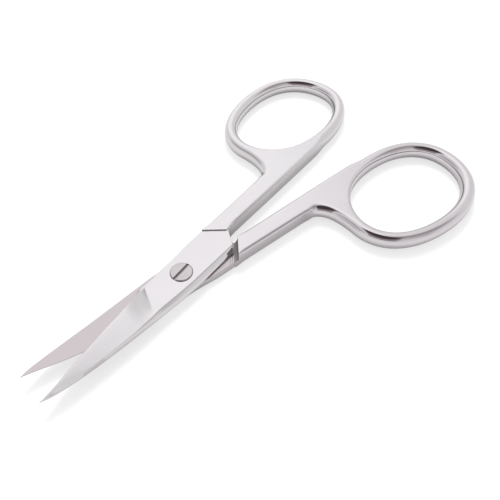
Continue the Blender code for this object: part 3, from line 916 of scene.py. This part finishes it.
# Ground meeting side of plate and blade
BLADE_START_Y = PIVOT_Y - HEEL_Y
INNER_TONE = (0.49, 0.445, 0.46)
INNER_ROUGH = 0.1
INNER_FADE = MM
INNER_DEPTH = (0.2 * MM, 0.3 * MM)
INNER_UPWARD = (0.5, 0.8)

# Painted shade where surfaces stand close together: the tone darkens with ambient occlusion
CREVICE_SHADE_TONE = (0.09, 0.078, 0.08)
CREVICE_SHADE_REACH = 0.8 * MM
CREVICE_SHADE_SAMPLES = 8
CREVICE_SHADE_SPAN = 0.35
CREVICE_SHADE_SHARE = 0.4

# Painted shade in the hollow foot of the shoulder: a dark, duller, less metallic tone
FOOT_SHADE_TONE = (0.3, 0.28, 0.285)
FOOT_SHADE_ROUGH = 0.25
FOOT_SHADE_METAL_DROP = 0.75
FOOT_SHADE_START = -0.04 * MM
FOOT_SHADE_END = SHOULDER_FILLET + 0.1 * MM
FOOT_SHADE_DEPTH = (0.02 * MM, 0.06 * MM)


def ground_side(n, where, upward, depth, side):
    """Share of the duller ground finish on the meeting side of plate and blade."""
    place_y = n.add("SeparateXYZ", Vector=where).outputs["Y"]
    past = n.ramp(place_y, BLADE_START_Y, BLADE_START_Y + INNER_FADE, 1.0, 0.0)
    inside = n.ramp(depth, *INNER_DEPTH, 1.0, 0.0)
    facing = n.ramp(n.math("MULTIPLY", upward, side), *INNER_UPWARD)
    return n.math("MULTIPLY", facing, n.math("MAXIMUM", past, inside))


def forged_foot(n, where, depth, side):
    """Share of the painted shade in the hollow foot of the shoulder."""
    slope = math.radians(SHOULDER_SLOPE_DEG)
    apex = place(0.0, SHOULDER_APEX_Y, 0.0, side)
    out_from = place(-math.sin(slope), SHOULDER_APEX_Y - math.cos(slope), 0.0, side) - apex
    out_from.z = 0.0
    apex.y += PIVOT_Y
    apart = n.math("SUBTRACT", n.dot(where, out_from), apex.dot(out_from))
    foot = n.math("MULTIPLY", n.ramp(apart, FOOT_SHADE_START, 0.0), n.ramp(depth, *FOOT_SHADE_DEPTH))
    return n.math("MULTIPLY", foot, n.ramp(apart, SHOULDER_FILLET, FOOT_SHADE_END, 1.0, 0.0))


def steel_finish(name, light, deep, roughs, turn, clear, side=0):
    """Steel, satin on its flats and polished bright where it is round."""
    flat_rough, round_rough = roughs
    material = bpy.data.materials.new(name)
    material.use_nodes = True
    tree = material.node_tree
    tree.nodes.clear()
    n = Nodes(tree)
    out = n.add("OutputMaterial")
    shader = n.add("BsdfPrincipled")
    tree.links.new(shader.outputs[0], out.inputs["Surface"])
    spot = n.add("TexCoord")
    where = spot.outputs["Object"]
    upward = n.add("SeparateXYZ", Vector=spot.outputs["Normal"]).outputs["Z"]
    flat = n.ramp(n.math("ABSOLUTE", upward), FLAT_FROM, FLAT_FULL)
    # Long fine lines along the piece, broad clouding of the polish, and grain
    along = n.add("Mapping", Vector=where, Rotation=(0.0, 0.0, turn), Scale=LINE_SCALE)
    lines = n.noise(along.outputs[0], 1.0, LINE_DETAIL)
    clouds = n.noise(where, CLOUD_SCALE, CLOUD_DETAIL)
    grain = n.noise(where, GRAIN_SCALE, GRAIN_DETAIL)
    line_sway = n.math("SUBTRACT", lines, 0.5)
    cloud_sway = n.math("SUBTRACT", clouds, 0.5)
    shade = n.math("MULTIPLY_ADD", cloud_sway, CLOUD_SHADE, 0.5)
    shade = n.math("MULTIPLY_ADD", line_sway, n.math("MULTIPLY", flat, LINE_SHADE), shade)
    shade = n.ramp(shade, DEEP_END, LIGHT_END, smooth=False)
    tone = n.mix(shade, (*deep, 1.0), (*light, 1.0))
    rough = n.ramp(flat, 0.0, 1.0, round_rough, flat_rough, smooth=False)
    if side:
        height = n.add("SeparateXYZ", Vector=where).outputs["Z"]
        depth = n.math("MULTIPLY", n.math("SUBTRACT", height, HALF_THICKNESS), side)
        inner = ground_side(n, where, upward, depth, side)
        tone = n.mix(inner, tone, (*INNER_TONE, 1.0))
        rough = n.math("MULTIPLY_ADD", inner, INNER_ROUGH, rough)
    # Painted shade: the tone darkens where ambient occlusion finds other surfaces close by
    corner = n.add("AmbientOcclusion", Distance=CREVICE_SHADE_REACH)
    corner.samples = CREVICE_SHADE_SAMPLES
    crevice_shade = n.ramp(corner.outputs["AO"], clear - CREVICE_SHADE_SPAN, clear, 1.0, 0.0)
    tone = n.mix(n.math("MULTIPLY", crevice_shade, CREVICE_SHADE_SHARE), tone, (*CREVICE_SHADE_TONE, 1.0))
    metal = 1.0
    # Painted shade in the hollow foot of the shoulder: darker, duller and less metallic
    if side:
        foot = forged_foot(n, where, depth, side)
        tone = n.mix(foot, tone, (*FOOT_SHADE_TONE, 1.0))
        rough = n.math("MULTIPLY_ADD", foot, FOOT_SHADE_ROUGH, rough)
        metal = n.math("MULTIPLY_ADD", foot, -FOOT_SHADE_METAL_DROP, 1.0)
    n.set(shader, "Base Color", tone)
    n.set(shader, "Metallic", metal)
    rough = n.math("MULTIPLY_ADD", cloud_sway, CLOUD_ROUGH, rough)
    rough = n.math("MULTIPLY_ADD", line_sway, n.math("MULTIPLY", flat, LINE_ROUGH), rough)
    n.set(shader, "Roughness", n.math("MAXIMUM", rough, LEAST_ROUGH))
    relief = n.math("MULTIPLY_ADD", lines, flat, n.math("MULTIPLY", grain, GRAIN_SHARE))
    eased = n.add("Bevel", Radius=ARRIS_ROUND)
    eased.samples = ARRIS_SAMPLES
    bump = n.add("Bump", Height=relief, Strength=RELIEF_STRENGTH, Distance=RELIEF_HEIGHT)
    n.set(bump, "Normal", eased.outputs[0])
    n.set(shader, "Normal", bump.outputs[0])
    return material


# Roughness on the flats and on the rounds, and openness below which the painted crevice shade sets
# in
HALF_ROUGHS = (0.2, 0.06)
HALF_CLEAR = 0.62
SCREW_ROUGHS = (0.24, 0.1)
SCREW_CLEAR = 0.4
SCREW_LINE_TURN = 0.4

FRONT = steel_finish(
    "front_steel_finish", (0.64, 0.62, 0.635), (0.58, 0.555, 0.575),
    HALF_ROUGHS, -HALF_OPEN, HALF_CLEAR, -1,
)
REAR = steel_finish(
    "rear_steel_finish", (0.63, 0.605, 0.625), (0.57, 0.54, 0.56),
    HALF_ROUGHS, HALF_OPEN, HALF_CLEAR, 1,
)
SCREW = steel_finish(
    "screw_steel_finish", (0.58, 0.54, 0.56), (0.355, 0.33, 0.34),
    SCREW_ROUGHS, SCREW_LINE_TURN, SCREW_CLEAR,
)

dressed(rear_half, REAR, "rear", "rear_half")
dressed(front_half, FRONT, "front", "front_half")
dressed(pivot_screw, SCREW, "rear", "pivot_screw")


# Camera
CAMERA_TURN = math.radians(44.674)
CAMERA_RISE = math.radians(52.9)
AIM = Vector((0.00351273689, 0.01377759413 + PIVOT_Y, 0.0))
REACH = 0.09588844
LENS = 36.03
SENSOR_WIDTH = 36.0
CLIP_START = 0.001

# Floor
FLOOR_SIZE = 4.0
FLOOR_DROP = 0.02 * MM
PAPER = (0.35, 0.35, 0.35, 1.0)
FLOOR_GLOW = 0.68
CONTACT_REACH = 4.0 * MM
CONTACT_DARK = 0.1

# Lamp
LAMP_TURN = CAMERA_TURN + math.pi
LAMP_RISE = math.radians(54.0)
LAMP_DISTANCE = 0.6
LAMP_SIZE = 0.16
LAMP_POWER = 1.9

# Surround
SURROUND = 1.0
WHITE = (1.0, 1.0, 1.0, 1.0)
DARK_TINT = (1.0, 0.82, 0.85, 1.0)
DARK_LEVEL = 0.1
WHITE_LEVEL = 0.9
CLEAR_RISE = math.radians(10.0)
WHOLE_RISE = math.radians(17.0)
# Turn from the camera, rise, half width, half length (degrees), softness, brightness
STUDIO_PANELS = (
    (-165.0, 42.0, 22.0, 54.0, 0.2, 1.38),
    (76.0, 56.0, 22.0, 26.0, 0.1, 0.5),
    (38.0, 20.0, 26.0, 30.0, 0.12, 0.7),
    (-80.0, 8.0, 32.0, 32.0, 0.12, 0.6),
    (-12.0, 45.0, 28.0, 44.0, 0.05, 0.42),
    (-12.0, 62.0, 27.0, 26.0, 0.04, 0.08),
    (34.0, 6.0, 20.0, 23.0, 0.06, 0.95),
)


def direction(turn, rise):
    """Unit vector towards an azimuth and an elevation, both in radians."""
    level = math.cos(rise)
    return Vector((math.sin(turn) * level, -math.cos(turn) * level, math.sin(rise)))


def aimed(name, data, back, distance):
    """Object at a distance along a direction, looking back along it."""
    thing = bpy.data.objects.new(name, data)
    bpy.context.scene.collection.objects.link(thing)
    thing.location = back * distance
    thing.rotation_mode = "QUATERNION"
    thing.rotation_quaternion = back.to_track_quat("Z", "Y")
    return thing


def make_floor():
    """Large plain pale floor that keeps the shadow."""
    bpy.ops.mesh.primitive_plane_add(size=FLOOR_SIZE, location=(0.0, 0.0, -FLOOR_DROP))
    floor = bpy.context.object
    floor.name = "studio_floor"
    material = bpy.data.materials.new("floor_paper")
    material.use_nodes = True
    tree = material.node_tree
    tree.nodes.clear()
    n = Nodes(tree)
    out = n.add("OutputMaterial")
    paper = n.add("BsdfDiffuse", Color=PAPER)
    rays = n.add("LightPath")
    mirrored = rays.outputs["Is Glossy Ray"]
    seen = n.math("MAXIMUM", rays.outputs["Is Camera Ray"], mirrored)
    seen = n.math("MAXIMUM", seen, rays.outputs["Is Transmission Ray"])
    # Painted contact shadow: seen in reflections, the floor's glow is dimmed close to the part by
    # ambient occlusion
    near = n.add("AmbientOcclusion", Distance=CONTACT_REACH)
    open_share = n.ramp(near.outputs["AO"], 0.0, 1.0, CONTACT_DARK, 1.0, smooth=False)
    reflected_contact_shadow = n.math("MULTIPLY_ADD", mirrored, n.math("SUBTRACT", open_share, 1.0), 1.0)
    strength = n.math("MULTIPLY", n.math("MULTIPLY", seen, FLOOR_GLOW), reflected_contact_shadow)
    glow = n.add("Emission", Color=WHITE, Strength=strength)
    both = n.add("AddShader")
    tree.links.new(paper.outputs[0], both.inputs[0])
    tree.links.new(glow.outputs[0], both.inputs[1])
    tree.links.new(both.outputs[0], out.inputs["Surface"])
    material.cycles.emission_sampling = "NONE"
    floor.data.materials.append(material)


def make_lamp():
    """Soft square lamp aimed at the part from behind it."""
    lamp = bpy.data.lights.new("key_softbox", "AREA")
    lamp.shape = "SQUARE"
    lamp.size = LAMP_SIZE
    lamp.energy = LAMP_POWER
    thing = aimed("key_softbox", lamp, direction(LAMP_TURN, LAMP_RISE), LAMP_DISTANCE)
    thing.visible_glossy = False


def make_world():
    """Even studio surround with panels of other brightness, white just above the floor."""
    world = bpy.data.worlds.new("studio_surround")
    bpy.context.scene.world = world
    world.use_nodes = True
    tree = world.node_tree
    tree.nodes.clear()
    n = Nodes(tree)
    out = n.add("OutputWorld")
    back = n.add("Background")
    tree.links.new(back.outputs[0], out.inputs["Surface"])
    where = n.add("TexCoord").outputs["Generated"]
    level = SURROUND
    for turn_deg, rise_deg, half_wide, half_long, soft, value in STUDIO_PANELS:
        turn = CAMERA_TURN + math.radians(turn_deg)
        centre = direction(turn, math.radians(rise_deg))
        side = Vector((math.cos(turn), math.sin(turn), 0.0))
        across = n.math("ABSOLUTE", n.dot(where, side))
        wide = math.sin(math.radians(half_wide))
        inside = n.ramp(across, wide - soft, wide + soft, 1.0, 0.0)
        ahead = n.dot(where, centre)
        far = math.cos(math.radians(half_long))
        inside = n.math("MULTIPLY", inside, n.ramp(ahead, far - soft, far + soft))
        level = n.math("MULTIPLY_ADD", inside, n.math("SUBTRACT", value, level), level)
    rise = n.dot(where, Vector((0.0, 0.0, 1.0)))
    above = n.ramp(rise, math.sin(CLEAR_RISE), math.sin(WHOLE_RISE))
    level = n.math("MULTIPLY_ADD", above, n.math("SUBTRACT", level, SURROUND), SURROUND)
    tint = n.mix(n.ramp(level, DARK_LEVEL, WHITE_LEVEL), DARK_TINT, WHITE)
    n.set(back, "Color", tint)
    n.set(back, "Strength", level)


def make_camera():
    """Camera at the photograph's viewing angle."""
    camera = bpy.data.cameras.new("camera")
    camera.sensor_width = SENSOR_WIDTH
    camera.lens = LENS
    camera.clip_start = CLIP_START
    thing = aimed("camera", camera, direction(CAMERA_TURN, CAMERA_RISE), REACH)
    thing.location += AIM
    return thing


make_floor()
make_world()
make_lamp()
bpy.context.scene.camera = make_camera()
bpy.context.scene.view_settings.view_transform = "Standard"
